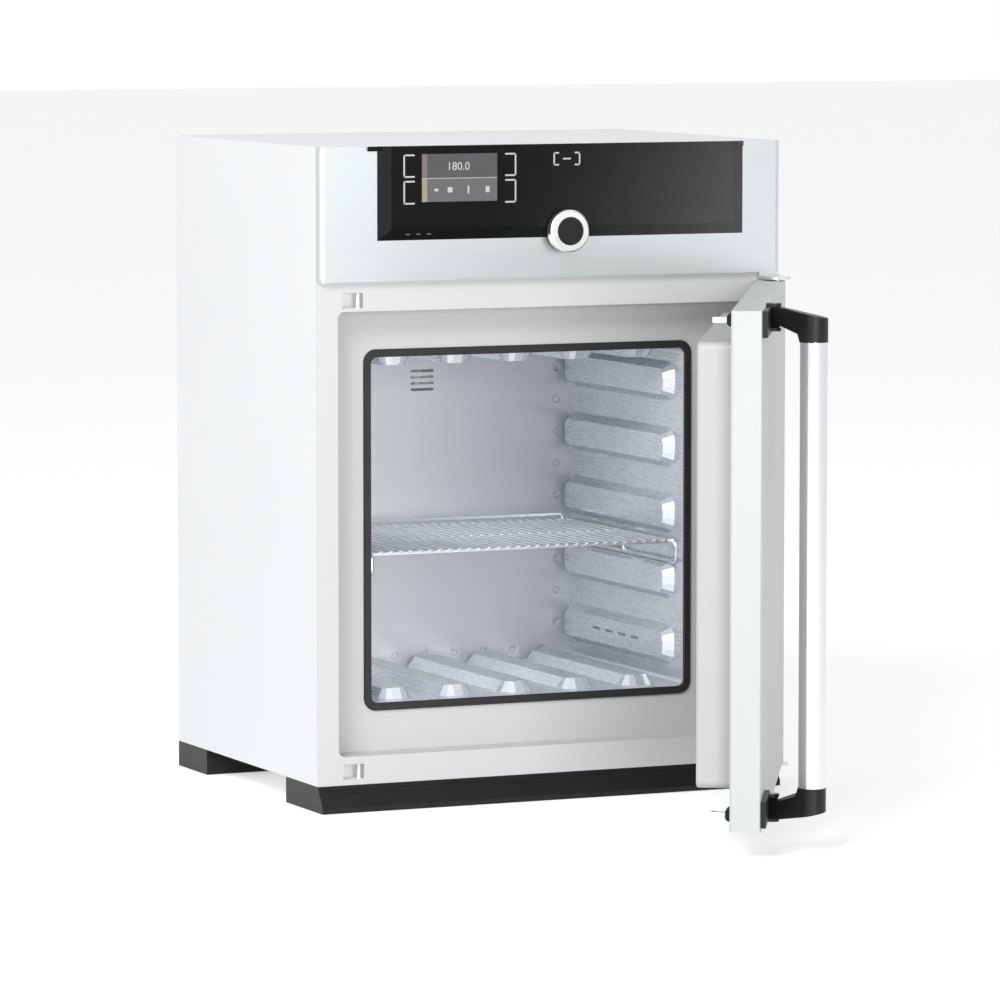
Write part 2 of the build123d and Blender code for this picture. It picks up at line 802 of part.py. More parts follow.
def handle_base():
    """The black plate on the corner of the door, with two ears that hold the pivot pin."""
    x1, y0, z0 = barrel_x + barrel_radius + 4, door_front - base_plate_thickness, door_top - base_plate_height
    base = block(-half_width, x1, y0, door_front, z0, door_top)
    low = barrel_top - barrel_height - barrel_gap
    high = barrel_top + barrel_gap
    for z0, z1 in ((low - ear_height, low), (high, high + ear_height)):
        base += post(barrel_x, barrel_y, z0, z1, barrel_radius)
        base += block(barrel_x - barrel_radius, barrel_x + barrel_radius, barrel_y, door_front, z0, z1)
    for part in (0, 0.5, 1):
        swing = Pos(0, 0, low) * extrude(arm_plan(barrel_gap), high - low)
        base -= swing.rotate(Axis((barrel_x, barrel_y, 0), (0, 0, 1)), -part * handle_turn)
    return base - post(barrel_x, barrel_y, low - ear_height, high + ear_height, pivot_pin_radius)


def pivot_pin():
    low = barrel_top - barrel_height - barrel_gap - ear_height
    return post(barrel_x, barrel_y, low, barrel_top + barrel_gap + ear_height, pivot_pin_radius)


def handle_arm():
    """The black arm from the pivot barrel out to the tube, which it caps."""
    outline = Polyline(
        (barrel_y + handle_radius, barrel_top),
        (barrel_y - arm_slope, barrel_top),
        (handle_y - handle_radius - 0.5, barrel_top - arm_fall),
        (handle_y - handle_radius - 0.5, handle_tube_top - 1),
        (handle_y + handle_radius + 0.5, handle_tube_top - 1),
        (handle_y + handle_radius + 3, handle_tube_top + 8),
        (barrel_y - arm_slope, barrel_top - barrel_height + 3),
        (barrel_y - arm_slope, barrel_top - barrel_height),
        (barrel_y + handle_radius, barrel_top - barrel_height),
        close=True,
    )
    side = extrude(Plane.YZ * make_face(outline), handle_reach + handle_radius, both=True)
    side = Pos(barrel_x, 0, 0) * side
    column = extrude(arm_plan(0), barrel_top - handle_tube_top + 2 * arm_cap)
    arm = side & Pos(0, 0, handle_tube_top - arm_cap) * column
    bore = pivot_pin_radius + shaft_clearance
    arm -= post(barrel_x, barrel_y, barrel_top - barrel_height - 1, barrel_top + 1, bore)
    arm -= post(handle_x, handle_y, handle_tube_top - arm_cap, handle_tube_top, handle_radius)
    return arm


def handle_tube():
    low = 2 * handle_mid_z - handle_tube_top
    tube = post(handle_x, handle_y, low, handle_tube_top, handle_radius)
    return tube - post(handle_x, handle_y, low, handle_tube_top, handle_radius - handle_tube_wall)


# Door

def door_shell():
    """The outer pan of the door: face, four edges, and holes for the hinge pins."""
    shell = block(-half_width, half_width, door_front, door_back, door_bottom, door_top)
    shell = fillet(shell.edges().filter_by(Axis.Z), door_radius)
    t = sheet
    shell -= block(-half_width + t, half_width - t, door_front + t, door_back, door_bottom + t, door_top - t)
    shell -= post(hinge_x, hinge_y, door_bottom - 1, door_top + 1, hinge_pin_radius + 2)
    return shell


def door_inner_panel():
    """The inner side of the door: a flat rim and a drawn block that fills the recess."""
    t = sheet
    x0, x1 = -half_width + t, half_width - t
    rim = block(x0, x1, door_back - t, door_back, door_bottom + t, door_top - t)
    b0, b1 = recess_left + door_block_side_gap, recess_right - door_block_side_gap
    c0, c1 = recess_bottom + door_block_end_gap, recess_top - door_block_end_gap
    raised = slab(b0, b1, door_back - t, block_face, c0, c1, recess_radius)
    raised = chamfer(raised.faces().sort_by(Axis.Y)[-1].edges(), 2)
    hollow = slab(b0 + t, b1 - t, door_back - t, block_face - t, c0 + t, c1 - t, recess_radius - t)
    panel = rim + raised - hollow
    for z in (latch_top_z, latch_bottom_z):
        panel -= tongue_slot(z, door_back - t, door_back)
    return panel


def door_insulation():
    """The wool in the door: a slab in the pan, and a second one that fills the drawn block."""
    t = sheet + blanket_gap
    pad = block(
        -half_width + t, hinge_x - hinge_pin_radius - bush_wall - 1, door_front + t, door_back - t,
        recess_bottom + 2, recess_top - 2,
    )
    b0, b1 = recess_left + door_block_side_gap, recess_right - door_block_side_gap
    c0, c1 = recess_bottom + door_block_end_gap, recess_top - door_block_end_gap
    pad += block(b0 + 4, b1 - 4, door_back - t, block_face - t, c0 + 4, c1 - 4)
    return pad


# Shelf

def wire(start, end, radius):
    """A straight piece of wire between two points."""
    path = Line(start, end)
    return sweep(Plane(start, z_dir=path % 0) * RegularPolygon(radius, wire_sides), path=path)


def bent_wire(points, bend, radius, close=False):
    """A wire bent along straight runs."""
    path = FilletPolyline(*points, radius=bend, close=close)
    return sweep(Plane(path @ 0, z_dir=path % 0) * RegularPolygon(radius, wire_sides), path=path)


def shelf():
    """The wire grid: fine wires on cross bars, side frames bent down to the ribs, and a raised rear stop."""
    rail = shelf_bar_radius
    edge = shelf_wall_gap + rail
    slope_z = rib_width / 2 - rib_slope * edge / rib_depth
    rib_z = chamber_mid_z + rib_raise + (shelf_rib - (rib_count - 1) / 2) * side_rib_pitch
    lean = (rib_slope**2 + rib_depth**2) ** 0.5 / rib_depth
    low = rib_z + slope_z + rail * lean + shelf_seat_gap
    high = low + shelf_rise
    x0, x1 = chamber_left + edge, chamber_right - edge
    y0, y1 = recess_depth + shelf_front_gap + rail, chamber_back - shelf_rear_gap
    middle = (y0 + y1) / 2
    back = y1 - shelf_bend
    grid = wire((x0, y0 + shelf_bend, high), (x1, y0 + shelf_bend, high), shelf_cross_radius)
    for y in (middle, back):
        grid += wire((x0, y, high), (x1, y, high), shelf_cross_radius)
    for x in (x0, x1):
        corners = [(x, y0, low), (x, y1, low), (x, y1, high), (x, y0, high)]
        grid += bent_wire(corners, shelf_bend, rail, close=True)
        grid += wire((x, middle, low), (x, middle, high), shelf_stop_radius)
    count = int((x1 - x0) / shelf_wire_pitch)
    first = (x0 + x1) / 2 - (count - 1) / 2 * shelf_wire_pitch
    level = high + shelf_cross_radius + shelf_wire_radius - shelf_weld
    places = [first + k * shelf_wire_pitch for k in range(count)]
    grid += [wire((x, y0, level), (x, y1, level), shelf_wire_radius) for x in places]
    s0, s1, top = first + shelf_wire_pitch / 2, places[-1] - shelf_wire_pitch / 2, high + shelf_stop_height
    corners = [(s0, back, high), (s0, back, top), (s1, back, top), (s1, back, high)]
    return grid + bent_wire(corners, shelf_stop_bend, shelf_stop_radius)


# Fasteners

def rear_screws():
    """Hexagon-headed screws along the folds that hold the rear panel."""
    heads = []
    low, high = foot_height + screw_end_margin, cover_seam - screw_end_margin
    for side in (-1, 1):
        x = side * (half_width - sheet - fold_width / 2)
        for k in range(screw_count):
            z = low + k * (high - low) / (screw_count - 1)
            seat = Plane((x, side_depth, z), z_dir=(0, 1, 0))
            heads.append(extrude(seat * RegularPolygon(screw_head_radius, 6), screw_head_height))
    return Compound(heads)


os.makedirs("parts", exist_ok=True)

save("front_foot_rail", foot_rail(0, front_rail_depth, rail_toe) - bracket_room())
save("rear_foot_rail", foot_rail(side_depth - rear_rail_depth, side_depth, 0))
save("side_panel_left", side_panel(-1))
save("side_panel_right", side_panel(1))
save("top_cover", top_cover())
save("base_tray", base_tray())
save("rear_panel", rear_panel())
save("front_frame", front_frame())
save("electronics_tray", electronics_tray())
save("chamber_liner", chamber_liner())
save("chamber_rear_wall", rear_wall())
save("door_seal", door_seal())
for wall in ribs:
    save(f"heater_{wall}", heater(wall))
for side, blanket in insulation().items():
    save(f"insulation_{side}", blanket)
save("exhaust_tube", exhaust_tube())
save("exhaust_flap", exhaust_flap())
save("flap_motor", flap_motor())
save("fascia", fascia())
save("control_panel", control_panel())
save("display", display())
save("control_board", control_board())
save("knob_encoder", encoder())
save("power_supply", power_supply())
save("mains_inlet", mains_inlet())
save("knob_ring", knob_ring())
save("knob_cap", knob_cap())
save("knob_shaft", knob_shaft())
save("push_plunger", push_plunger())
save("rear_screws", rear_screws())
save("shelf_grid", shelf())
hinge_pins = []
latch_pins = []
handle_pins = []
for end in ("upper", "lower"):
    upper = end == "upper"
    z = latch_top_z if upper else latch_bottom_z
    hinge_pins.append(hinge_pin(upper))
    latch_pins.append(opened(tongue_pin(upper)))
    save(f"hinge_bracket_{end}", hinge_bracket(upper))
    save(f"hinge_bush_{end}", opened(hinge_bush(upper)))
    save(f"latch_strike_{end}", strike(z))
    save(f"latch_tongue_{end}", opened(tongue(z)))
    save(f"latch_guide_{end}", opened(latch_guide(z)))
    corner = [handle_base(), handle_arm(), pivot_pin()]
    if not upper:
        corner = [mirrored(piece, handle_mid_z) for piece in corner]
    base, arm, pin = corner
    save(f"handle_base_{end}", opened(base))
    save(f"handle_arm_{end}", opened(arm))
    handle_pins.append(opened(pin))
save("hinge_pins", Compound(hinge_pins))
save("latch_pins", Compound(latch_pins))
save("handle_pins", Compound(handle_pins))
save("handle_tube", opened(handle_tube()))
save("door_shell", opened(door_shell()))
save("door_inner_panel", opened(door_inner_panel()))
save("door_insulation", opened(door_insulation()))
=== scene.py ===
"""Looks of the bench hot air sterilizer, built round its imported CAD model.

X is right, Y back and Z up. Pieces and marks are in millimetres, and the camera, lamps and floor in metres.
"""

import json
from math import cos, pi, radians, sin

import bpy
from mathutils import Matrix, Vector


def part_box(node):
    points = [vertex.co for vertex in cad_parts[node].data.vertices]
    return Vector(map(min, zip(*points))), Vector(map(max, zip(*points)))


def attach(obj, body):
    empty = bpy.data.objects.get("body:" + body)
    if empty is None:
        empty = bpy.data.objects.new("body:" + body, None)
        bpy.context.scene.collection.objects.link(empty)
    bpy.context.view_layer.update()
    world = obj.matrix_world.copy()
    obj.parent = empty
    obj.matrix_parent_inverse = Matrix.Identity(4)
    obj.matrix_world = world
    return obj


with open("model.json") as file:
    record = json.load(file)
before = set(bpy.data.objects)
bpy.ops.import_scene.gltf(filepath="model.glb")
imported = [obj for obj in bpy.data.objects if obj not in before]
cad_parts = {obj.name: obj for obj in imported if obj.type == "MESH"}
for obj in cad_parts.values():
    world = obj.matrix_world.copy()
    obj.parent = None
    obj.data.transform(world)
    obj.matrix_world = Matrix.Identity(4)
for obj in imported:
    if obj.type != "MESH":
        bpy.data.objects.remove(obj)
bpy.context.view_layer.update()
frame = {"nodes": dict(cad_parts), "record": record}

MM = 0.001
X, Y, Z = range(3)
WHITE = (1, 1, 1)
BLACK = (0, 0, 0)
GREY_LIGHT = 0.55
FLOOR_GLOW = 0.4
CORNER_RADIUS = 7


def corners(node):
    """The lowest and highest corner of a CAD node, in millimetres."""
    return [Vector([round(part / MM, 3) for part in corner]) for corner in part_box(node)]


head_low, head_high = corners("fascia")
panel_low, panel_high = corners("control_panel")
display_low, display_high = corners("display")
display_middle = (display_low + display_high) / 2
knob_low, knob_high = corners("knob_ring")
knob_middle = (knob_low + knob_high) / 2


# Shader arithmetic

class Link:
    """A socket that takes part in Python arithmetic."""

    def __init__(self, owner, socket):
        self.owner = owner
        self.socket = socket

    def math(self, operation, *others, clamp=False):
        return self.owner.node("Math", {"operation": operation, "use_clamp": clamp}, (self, *others))

    def __add__(self, other):
        return self.math("ADD", other)

    def __sub__(self, other):
        return self.math("SUBTRACT", other)

    def __rsub__(self, other):
        return self * -1 + other

    def __mul__(self, other):
        return self.math("MULTIPLY", other)

    def __truediv__(self, other):
        return self.math("DIVIDE", other)

    def __gt__(self, other):
        return self.math("GREATER_THAN", other)

    def __lt__(self, other):
        return self.math("LESS_THAN", other)

    def __abs__(self):
        return self.math("ABSOLUTE")

    def wave(self):
        """The sine of the value, moved to run from 0 to 1."""
        return self.math("SINE") * 0.5 + 0.5

    def rise(self, start, reach):
        """0 up to the start, 1 from the end of the reach on, and even between them."""
        return ((self - start) / reach).math("ADD", 0, clamp=True)

    __radd__ = __add__
    __rmul__ = __mul__


class Nodes:
    """A node tree, with its nodes added by one method."""

    def __init__(self, tree):
        self.tree = tree

    def node(self, kind, settings=None, inputs=(), out=0):
        """One output of a new node, which gets its settings first and then what goes into its sockets."""
        made = self.tree.nodes.new("ShaderNode" + kind)
        for key, value in (settings or {}).items():
            setattr(made, key, value)
        pairs = inputs.items() if isinstance(inputs, dict) else enumerate(inputs)
        for key, value in pairs:
            self.feed(made.inputs[key], value)
        return Link(self, made.outputs[out])

    def feed(self, socket, value):
        """A link, a colour without its alpha, or a plain value goes into a socket."""
        if isinstance(value, Link):
            self.tree.links.new(value.socket, socket)
        elif socket.type == "RGBA":
            socket.default_value = (*value, 1)
        else:
            socket.default_value = value

    def mixed(self, factor, first, second):
        """Two colours mixed by a value."""
        return self.node("Mix", {"data_type": "RGBA"}, {0: factor, 6: first, 7: second}, out=2)

    def seen(self):
        """1 for rays from the camera, and for those that metal or glass sends on, and 0 for the rest."""
        kinds = ("Camera", "Glossy", "Transmission")
        camera, glossy, transmission = [self.node("LightPath", out=f"Is {kind} Ray") for kind in kinds]
        return camera.math("MAXIMUM", glossy).math("MAXIMUM", transmission)


class Finish(Nodes):
    """A material whose patterns lie on object coordinates."""

    def __init__(self, name, color, roughness, metallic=0, **sockets):
        self.material = bpy.data.materials.new(name)
        self.material.use_nodes = True
        super().__init__(self.material.node_tree)
        self.shader = self.tree.nodes["Principled BSDF"]
        self.place = self.node("TexCoord", out="Object")
        self.set(base_color=color, roughness=roughness, metallic=metallic, **sockets)

    def set(self, **sockets):
        """Sockets of the shader, by their names in lower case with underscores."""
        for key, value in sockets.items():
            name = key.replace("_", " ").title().replace("Ior", "IOR")
            self.feed(self.shader.inputs[name], value)

    def axis(self, k):
        """One coordinate, in metres."""
        return self.node("SeparateXYZ", None, [self.place], out=k)

    def noise(self, scale, detail=2, stretch=(1, 1, 1)):
        """Cloudy values round a half, drawn out along the axes where the stretch is small."""
        place = self.node("VectorMath", {"operation": "MULTIPLY"}, [self.place, stretch])
        return self.node("TexNoise", None, {"Vector": place, "Scale": scale, "Detail": detail})

    def cells(self, scale, randomness=1):
        """The distance to the middle of the nearest cell."""
        return self.node("TexVoronoi", None, {"Vector": self.place, "Scale": scale, "Randomness": randomness})

    def shades(self, pattern, color, darkest, lightest):
        """The base colour runs between two shades of a colour."""
        self.set(base_color=self.mixed(pattern, shade(color, darkest), shade(color, lightest)))

    def polish(self, pattern, middle, spread):
        """The roughness runs round its middle."""
        self.set(roughness=middle - spread / 2 + spread * pattern)

    def bump(self, pattern, depth, strength):
        """The surface rises with a pattern, by a depth in metres."""
        self.set(normal=self.node("Bump", None, {"Height": pattern, "Distance": depth, "Strength": strength}))


# Finishes

def shade(color, factor):
    return tuple(min(1, part * factor) for part in color)


def powder_coat(name, color, roughness, grain=900, depth=0.00012):
    """Baked paint on sheet: a fine orange peel and very faint clouds of colour."""
    finish = Finish(name, color, roughness)
    peel = finish.noise(grain, detail=3)
    finish.shades(finish.noise(6, detail=3), color, darkest=0.975, lightest=1.02)
    finish.polish(peel, roughness, spread=0.12)
    finish.bump(peel, depth, strength=0.35)
    return finish.material


def brushed_steel(name, color, roughness, along, metallic=1.0, contrast=0.06, right_end_painted_shade=1.0):
    """Brushed metal, with streaks along one axis, that may turn darker towards its right end as a painted
    shade.
    """
    painted_shade_start = -0.18
    painted_shade_reach = 0.34
    finish = Finish(name, color, roughness, metallic)
    stretch = tuple(0.02 if k == along else 1 for k in (X, Y, Z))
    streaks = 0.8 * finish.noise(1600, 2, stretch) + 0.2 * finish.noise(160, 3, stretch)
    brushed = finish.mixed(streaks, shade(color, 1 - contrast), shade(color, 1 + contrast))
    # Painted shade: the colour darkens towards the right end by the given factor.
    if right_end_painted_shade < 1:
        brushed = finish.mixed(finish.axis(X).rise(painted_shade_start, painted_shade_reach), brushed, shade(color, right_end_painted_shade))
    finish.set(base_color=brushed)
    finish.polish(streaks, roughness, spread=0.18)
    finish.bump(streaks, depth=0.00003, strength=0.2)
    return finish.material


def moulded(name, color, roughness):
    """Moulded plastic with a fine spark-eroded grain and a little dust in it."""
    finish = Finish(name, color, roughness, specular_ior_level=0.25)
    pits = finish.noise(2200)
    finish.shades(finish.noise(35, detail=4), color, darkest=0.8, lightest=1.5)
    finish.polish(pits, roughness, spread=0.16)
    finish.bump(pits, depth=0.0001, strength=0.4)
    return finish.material


def rubber(name, color):
    """Rubber with a soft bloom and a fine grain."""
    roughness = 0.55
    finish = Finish(name, color, roughness)
    bloom = finish.noise(60, detail=4)
    finish.shades(bloom, color, darkest=1, lightest=1.7)
    finish.polish(bloom, roughness, spread=0.14)
    finish.bump(finish.noise(1200), depth=0.00006, strength=0.3)
    return finish.material


def turned_metal(name, color, roughness, centre):
    """Metal turned on a lathe: rings about an axis along Y that passes through a point."""
    ring_rate = 26000
    finish = Finish(name, color, roughness, metallic=1)
    aside = finish.axis(X) - centre.x
    above = finish.axis(Z) - centre.z
    rings = (ring_rate * (aside * aside + above * above).math("SQRT")).wave()
    uneven = finish.noise(90, detail=3)
    finish.shades(uneven, color, darkest=0.93, lightest=1.04)
    finish.set(roughness=roughness + 0.06 * rings + 0.05 * uneven)
    finish.bump(rings, depth=0.00002, strength=0.4)
    return finish.material


def plated(name, color):
    """Bright zinc on steel: soft spangle and small stains."""
    smoothest = 0.27
    finish = Finish(name, color, smoothest, metallic=1)
    spangle = finish.cells(130)
    stains = finish.noise(40, detail=4)
    finish.shades(stains, color, darkest=0.86, lightest=1.06)
    finish.set(roughness=smoothest + 0.1 * spangle + 0.08 * stains)
    finish.bump(spangle, depth=0.00003, strength=0.2)
    return finish.material


def mineral_wool(name, color):
    """Mineral wool: long loose fibres in two directions."""
    finish = Finish(name, color, roughness=0.95)
    fibres = 0.5 * finish.noise(700, 4, (0.08, 1, 1)) + 0.5 * finish.noise(500, 4, (1, 1, 0.1))
    clumps = finish.noise(22, detail=3)
    finish.shades(0.6 * clumps + 0.4 * fibres, color, darkest=0.7, lightest=1.15)
    finish.bump(fibres, depth=0.0008, strength=0.8)
    return finish.material


def heating_strip(name, color):
    """Mica and foil with the shadow of the winding inside."""
    winding_rate = 1400
    finish = Finish(name, color, roughness=0.4, metallic=0.9)
    winding = (winding_rate * finish.axis(Y)).wave()
    heat = finish.noise(30, detail=4)
    finish.shades(0.6 * heat + 0.3 * winding, color, darkest=0.6, lightest=1.2)
    finish.bump(winding, depth=0.0002, strength=0.5)
    return finish.material


def circuit_board(name, color):
    """Green lacquer over copper tracks, with round solder pads."""
    solder = (0.62, 0.62, 0.6)
    finish = Finish(name, color, roughness=0.3)
    tracks = abs(finish.noise(70, 0, (1, 1, 6)) - 0.5) < 0.035
    pads = finish.cells(95, randomness=0.6) < 0.16
    lacquer = finish.mixed(tracks, color, shade(color, 2.1))
    finish.set(base_color=finish.mixed(pads, lacquer, solder))
    finish.bump(tracks + pads, depth=0.0001, strength=0.6)
    return finish.material


def gloss_panel(name, color):
    """A dark lacquered panel, almost black on the left, with a painted reflection that lightens it towards
    its right end.
    """
    slant = 0.5
    slant_height = 0.7
    reflection_start = -0.1
    reflection_reach = 0.34
    finish = Finish(name, color, roughness=0.3, specular_ior_level=0.08)
    haze = finish.noise(14, detail=4)
    specks = finish.cells(420) < 0.06
    # Painted reflection: a slanting sweep that lightens the colour towards the right end.
    reflection_sweep = (finish.axis(X) - slant * (finish.axis(Z) - slant_height)).rise(reflection_start, reflection_reach)
    lit = reflection_sweep * reflection_sweep * (0.85 + 0.3 * haze)
    finish.shades(lit, color, darkest=1, lightest=11)
    finish.set(roughness=0.24 + 0.1 * haze + 0.2 * specks)
    return finish.material


def lit_display(name):
    """The display: two grey fields with a light rule between them, and coloured tabs on the left."""
    rule_place = -0.6
    rule_half = 0.5
    tab_edge = -40.5
    cover = 0.8
    finish = Finish(name, BLACK, roughness=0.3, specular_ior_level=0.1)
    x = finish.axis(X) / MM - display_middle.x
    z = finish.axis(Z) / MM - display_middle.z
    upper = z > rule_place
    upper_field = finish.mixed(finish.noise(60), (0.075, 0.075, 0.08), (0.095, 0.095, 0.1))
    fields = finish.mixed(upper, (0.12, 0.12, 0.125), upper_field)
    tabs = finish.mixed(upper, (0.32, 0.29, 0.21), (0.2, 0.15, 0.17))
    tabbed = finish.mixed(cover * (x < tab_edge), fields, tabs)
    ruled = finish.mixed(cover * (abs(z - rule_place) < rule_half), tabbed, (0.4, 0.4, 0.41))
    finish.set(base_color=ruled, emission_color=ruled, emission_strength=0.1)
    return finish.material


def print_ink(name, color):
    """Printed marks that glow a little: the display's own light in what it shows, and a painted glow in the
    marks printed on the panel.
    """
    finish = Finish(name, color, roughness=0.5)
    ink = finish.mixed(finish.noise(600, detail=3), shade(color, 0.85), color)
    # The glow: the display's own light for its figures and icons, painted light for the marks printed on the
    # panel.
    finish.set(base_color=ink, emission_color=ink, emission_strength=0.15)
    return finish.material


FINISHES = {
    "casing_steel": powder_coat("casing paint", (0.8, 0.82, 0.835), 0.42),
    "front_enamel": powder_coat("front enamel", (0.6, 0.595, 0.605), 0.34, grain=1400, depth=0.00006),
    "brushed_head": brushed_steel("brushed head", (0.6, 0.635, 0.64), 0.42, along=X),
    # The chamber's steel darkens a little towards its right end: painted shade.
    "chamber_steel": brushed_steel(
        "chamber steel", (0.8, 0.845, 0.895), 0.28, along=Y, metallic=0.62, contrast=0.03, right_end_painted_shade=0.9,
    ),
    "black_moulding": moulded("black moulding", (0.009, 0.009, 0.0095), 0.42),
    "panel_black": gloss_panel("panel black with painted reflection", (0.006, 0.006, 0.006)),
    "display_grey": lit_display("lit display"),
    "seal_rubber": rubber("seal rubber", (0.008, 0.008, 0.009)),
    "wool": mineral_wool("mineral wool", (0.6, 0.55, 0.36)),
    "heater_foil": heating_strip("heating strip", (0.42, 0.4, 0.37)),
    "zinc_steel": plated("zinc plate", (0.72, 0.72, 0.74)),
    "wire_steel": plated("shelf wire", (0.88, 0.9, 0.93)),
    "handle_silver": brushed_steel(
        "handle tube", (0.74, 0.73, 0.76), 0.2, along=Z, metallic=0.95, contrast=0.03,
    ),
    "knob_silver": turned_metal("knob ring", (0.86, 0.86, 0.85), 0.24, knob_middle * MM),
    "board_green": circuit_board("circuit board", (0.02, 0.12, 0.05)),
    "motor_grey": moulded("motor case", (0.1, 0.1, 0.105), 0.5),
    "bush_plastic": moulded("bearing plastic", (0.7, 0.69, 0.64), 0.5),
}
# The latch cups are painted white, and lighter than the front enamel to lift the shade in their hollows:
# painted light.
lightened_cup_paint = powder_coat("cup paint with painted light", (0.93, 0.93, 0.94), 0.4)
# Parts whose finishes carry painted light and shade, in place of their slot's finish.
FINISHES_WITH_PAINTED_LIGHT = {
    "latch_strike_upper": lightened_cup_paint,
    "latch_strike_lower": lightened_cup_paint,
    # The door's outer and inner paints are darker copies of the casing paint and the front enamel: painted
    # shade.
    "door_shell": powder_coat("door paint with painted shade", (0.5, 0.52, 0.525), 0.4),
    "door_inner_panel": powder_coat("inner door enamel with painted shade", (0.45, 0.45, 0.46), 0.36),
    # The rear wall: a lighter copy of the chamber's steel, painted light, with a strong painted shade towards
    # its right end.
    "chamber_rear_wall": brushed_steel(
        "rear wall steel with painted light", (0.93, 0.96, 0.99), 0.34, along=X, metallic=0.2, contrast=0.05, right_end_painted_shade=0.62,
    ),
}
for row in frame["record"]["subparts"]:
    materials = frame["nodes"][row["node"]].data.materials
    materials.clear()
    materials.append(FINISHES_WITH_PAINTED_LIGHT.get(row["node"], FINISHES[row["material_slot"]]))


# Modelling

def settled(piece):
    """The piece's place goes into its mesh."""
    piece.data.transform(piece.matrix_world)
    piece.matrix_world = Matrix.Identity(4)
    return piece


def joined(pieces):
    bpy.ops.object.select_all(action="DESELECT")
    for piece in pieces:
        piece.select_set(True)
    bpy.context.view_layer.objects.active = pieces[0]
    bpy.ops.object.join()
    return bpy.context.object


def finished(piece, name, slot, material=None):
    """The piece gets its name and material, and rides on the cabinet."""
    piece.name = piece.data.name = name
    piece.data.materials.clear()
    piece.data.materials.append(material or FINISHES[slot])
    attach(piece, "cabinet")


def stroke(x0, x1, z0, z1, face=panel_low.y, depth=0.25):
    """One bar that stands out from an upright face, with its edges eased."""
    middle = Vector(((x0 + x1) / 2, face - depth / 2, (z0 + z1) / 2)) * MM
    bpy.ops.object.select_all(action="DESELECT")
    bpy.ops.mesh.primitive_cube_add(size=1, location=middle)
    bar = bpy.context.object
    bar.scale = (abs(x1 - x0) * MM, depth * MM, abs(z1 - z0) * MM)
    bpy.context.view_layer.update()
    settled(bar)
    bpy.ops.object.mode_set(mode="EDIT")
    bpy.ops.mesh.select_all(action="SELECT")
    bpy.ops.mesh.bevel(offset=0.08 * MM, segments=1)
    bpy.ops.object.mode_set(mode="OBJECT")
    return bar


def bracket(x, inward, z0, z1, arm, width):
    """The three bars of a square bracket, with its back at x and its arms inward."""
    tip = x + inward * arm
    return [
        stroke(x, x + inward * width, z0, z1),
        stroke(x, tip, z1 - width, z1),
        stroke(x, tip, z0, z0 + width),
    ]


def head_corner(name, x):
    """A bar with eased ends that closes a rounded upright corner of the head from inside."""
    room = 0.08
    end_room = 2
    height = head_high.z - head_low.z - 2 * end_room
    middle = Vector((x, head_low.y + CORNER_RADIUS, (head_low.z + head_high.z) / 2)) * MM
    radius = (CORNER_RADIUS - room) * MM
    bpy.ops.object.select_all(action="DESELECT")
    bpy.ops.mesh.primitive_cylinder_add(vertices=96, radius=radius, depth=height * MM, location=middle)
    bar = settled(bpy.context.object)
    bpy.ops.object.mode_set(mode="EDIT")
    bpy.ops.mesh.select_mode(type="FACE")
    bpy.ops.mesh.select_all(action="DESELECT")
    bpy.ops.object.mode_set(mode="OBJECT")
    for face in bar.data.polygons:
        face.select = abs(face.normal.z) > 0.9
    bpy.ops.object.mode_set(mode="EDIT")
    bpy.ops.mesh.bevel(offset=0.3 * MM, segments=1)
    bpy.ops.object.mode_set(mode="OBJECT")
    bpy.ops.object.shade_smooth_by_angle(angle=radians(40))
    finished(bar, name, "brushed_head")


head_corner("head_corner_left", head_low.x + CORNER_RADIUS)
head_corner("head_corner_right", head_high.x - CORNER_RADIUS)


# Marks on the control panel

ink = print_ink("printed marks", (0.45, 0.45, 0.45))
faint_ink = print_ink("faint marks", (0.13, 0.13, 0.13))


def panel_brackets():
    """An upper and a lower bracket on each side of the display, open towards it."""
    shape = {"arm": 14, "width": 1.9}
    left = display_low.x - 23
    right = display_high.x + 24
    strokes = []
    for low, high in ((0.7, 27.2), (-29.8, -2.8)):
        z0 = display_middle.z + low
        z1 = display_middle.z + high
        strokes += bracket(left, 1, z0, z1, **shape)
        strokes += bracket(right, -1, z0, z1, **shape)
    finished(joined(strokes), "panel_brackets", "display_grey", ink)


def panel_icon():
    """Two facing brackets with a dash between them, above the knob and a little to its right."""
    shape = {"arm": 7, "width": 1.8}
    middle = knob_middle.x + 2.5
    half = 17
    dash_half = 5
    z0 = panel_high.z - 25
    z1 = panel_high.z - 9.5
    strokes = bracket(middle - half, 1, z0, z1, **shape) + bracket(middle + half, -1, z0, z1, **shape)
    strokes.append(stroke(middle - dash_half, middle + dash_half, panel_high.z - 18.1, panel_high.z - 16.3))
    finished(joined(strokes), "panel_icon", "display_grey", ink)


def panel_ticks():
    """Three short bars near the lower left corner of the panel."""
    length = 5
    pitch = 13
    starts = [panel_low.x + 33 + k * pitch for k in range(3)]
    strokes = [stroke(x, x + length, panel_low.z + 6.4, panel_low.z + 7.6) for x in starts]
    finished(joined(strokes), "panel_ticks", "display_grey", faint_ink)


def display_figures():
    """The temperature that is shown in the upper field."""
    lift = 0.15
    corner = Vector((display_middle.x - 16, panel_low.y - lift, display_middle.z + 8.7)) * MM
    bpy.ops.object.select_all(action="DESELECT")
    bpy.ops.object.text_add()
    figures = bpy.context.object
    figures.data.body = "180.0"
    figures.data.size = 13 * MM
    figures.data.extrude = 0.1 * MM
    bpy.ops.object.convert(target="MESH")
    figures = bpy.context.object
    figures.data.transform(Matrix.Translation(corner) @ Matrix.Rotation(pi / 2, 4, "X"))
    finished(figures, "Text", "display_grey", ink)


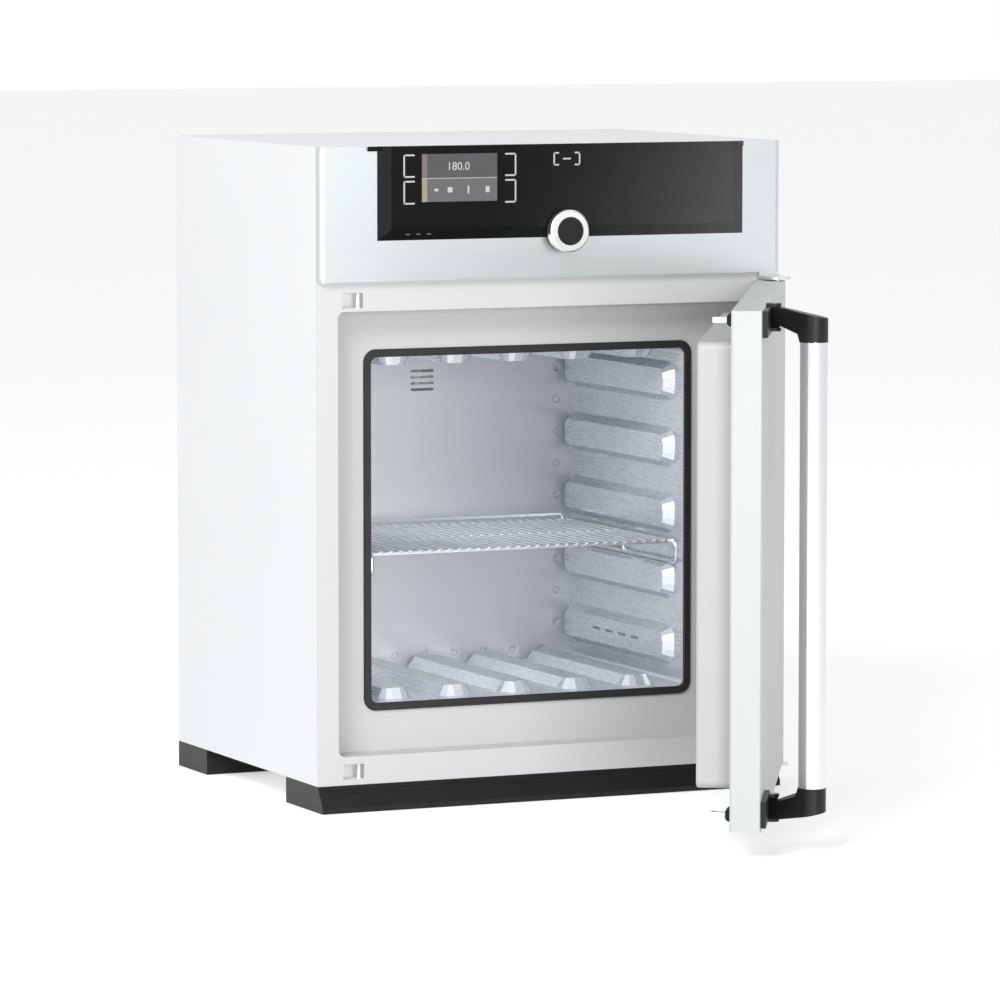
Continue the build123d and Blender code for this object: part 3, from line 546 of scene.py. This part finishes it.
def display_icons():
    """Four small blocks in a row in the lower field."""
    z = display_middle.z - 13.8
    strokes = []
    for aside, width, height in ((-29, 5, 3), (-12, 6, 6), (11, 2.2, 9), (35, 5, 7)):
        x = display_middle.x + aside
        strokes.append(stroke(x - width / 2, x + width / 2, z - height / 2, z + height / 2, depth=0.15))
    finished(joined(strokes), "display_icons", "display_grey", ink)


def panel_lip():
    """The thin black lip along the top of the panel, which runs on past its left end."""
    x0 = panel_low.x - 12
    z0 = panel_high.z - 5.5
    z1 = panel_high.z - 0.2
    finished(stroke(x0, panel_high.x, z0, z1, face=head_low.y, depth=2.5), "panel_lip", "panel_black")


panel_brackets()
panel_icon()
panel_ticks()
display_figures()
display_icons()
panel_lip()


# Camera, lamps, floor and world

def add_camera():
    """The camera that was fitted to the corners of the cabinet in the photograph."""
    yaw = radians(24.22)
    pitch = radians(5.37)
    look = Vector((sin(yaw) * cos(pitch), cos(yaw) * cos(pitch), -sin(pitch)))
    data = bpy.data.cameras.new("camera")
    data.sensor_width = 36
    data.lens = 217.65
    data.clip_end = 60
    camera = bpy.data.objects.new("camera", data)
    camera.location = (-2.9154, -6.3384, 1.0045)
    camera.rotation_mode = "QUATERNION"
    camera.rotation_quaternion = look.to_track_quat("-Z", "Y")
    bpy.context.scene.collection.objects.link(camera)
    bpy.context.scene.camera = camera


def add_lamp(name, place, target, size, power):
    """A square softbox that looks at a point."""
    data = bpy.data.lights.new(name, "AREA")
    data.shape = "SQUARE"
    data.size = size
    data.energy = power
    lamp = bpy.data.objects.new(name, data)
    lamp.location = place
    lamp.rotation_mode = "QUATERNION"
    lamp.rotation_quaternion = (Vector(target) - Vector(place)).to_track_quat("-Z", "Y")
    bpy.context.scene.collection.objects.link(lamp)


def add_floor():
    """A wide plain pale floor just under the feet, which glows a little for the camera and in reflections."""
    bpy.ops.mesh.primitive_plane_add(size=60, location=(0, 0, -0.5 * MM))
    floor = bpy.context.object
    floor.name = "floor"
    finish = Finish("floor", (0.93, 0.93, 0.935), roughness=0.9, specular_ior_level=0)
    finish.set(emission_color=finish.mixed(finish.seen(), BLACK, WHITE), emission_strength=FLOOR_GLOW)
    floor.data.materials.append(finish.material)


def add_world():
    """White for the camera and in reflections, and a plain grey light for the rest."""
    world = bpy.data.worlds.new("studio")
    world.use_nodes = True
    bpy.context.scene.world = world
    nodes = Nodes(world.node_tree)
    light = world.node_tree.nodes["Background"]
    nodes.feed(light.inputs["Color"], WHITE)
    nodes.feed(light.inputs["Strength"], GREY_LIGHT + (1 - GREY_LIGHT) * nodes.seen())


add_camera()
add_lamp("key", place=(-3.9, -3.6, 3.9), target=(0, 0, 0.4), size=2.4, power=235)
add_lamp("front fill", place=(-0.9, -5.0, 0.8), target=(0, 0, 0.35), size=1.6, power=95)
add_floor()
add_world()
bpy.context.scene.view_settings.view_transform = "Standard"
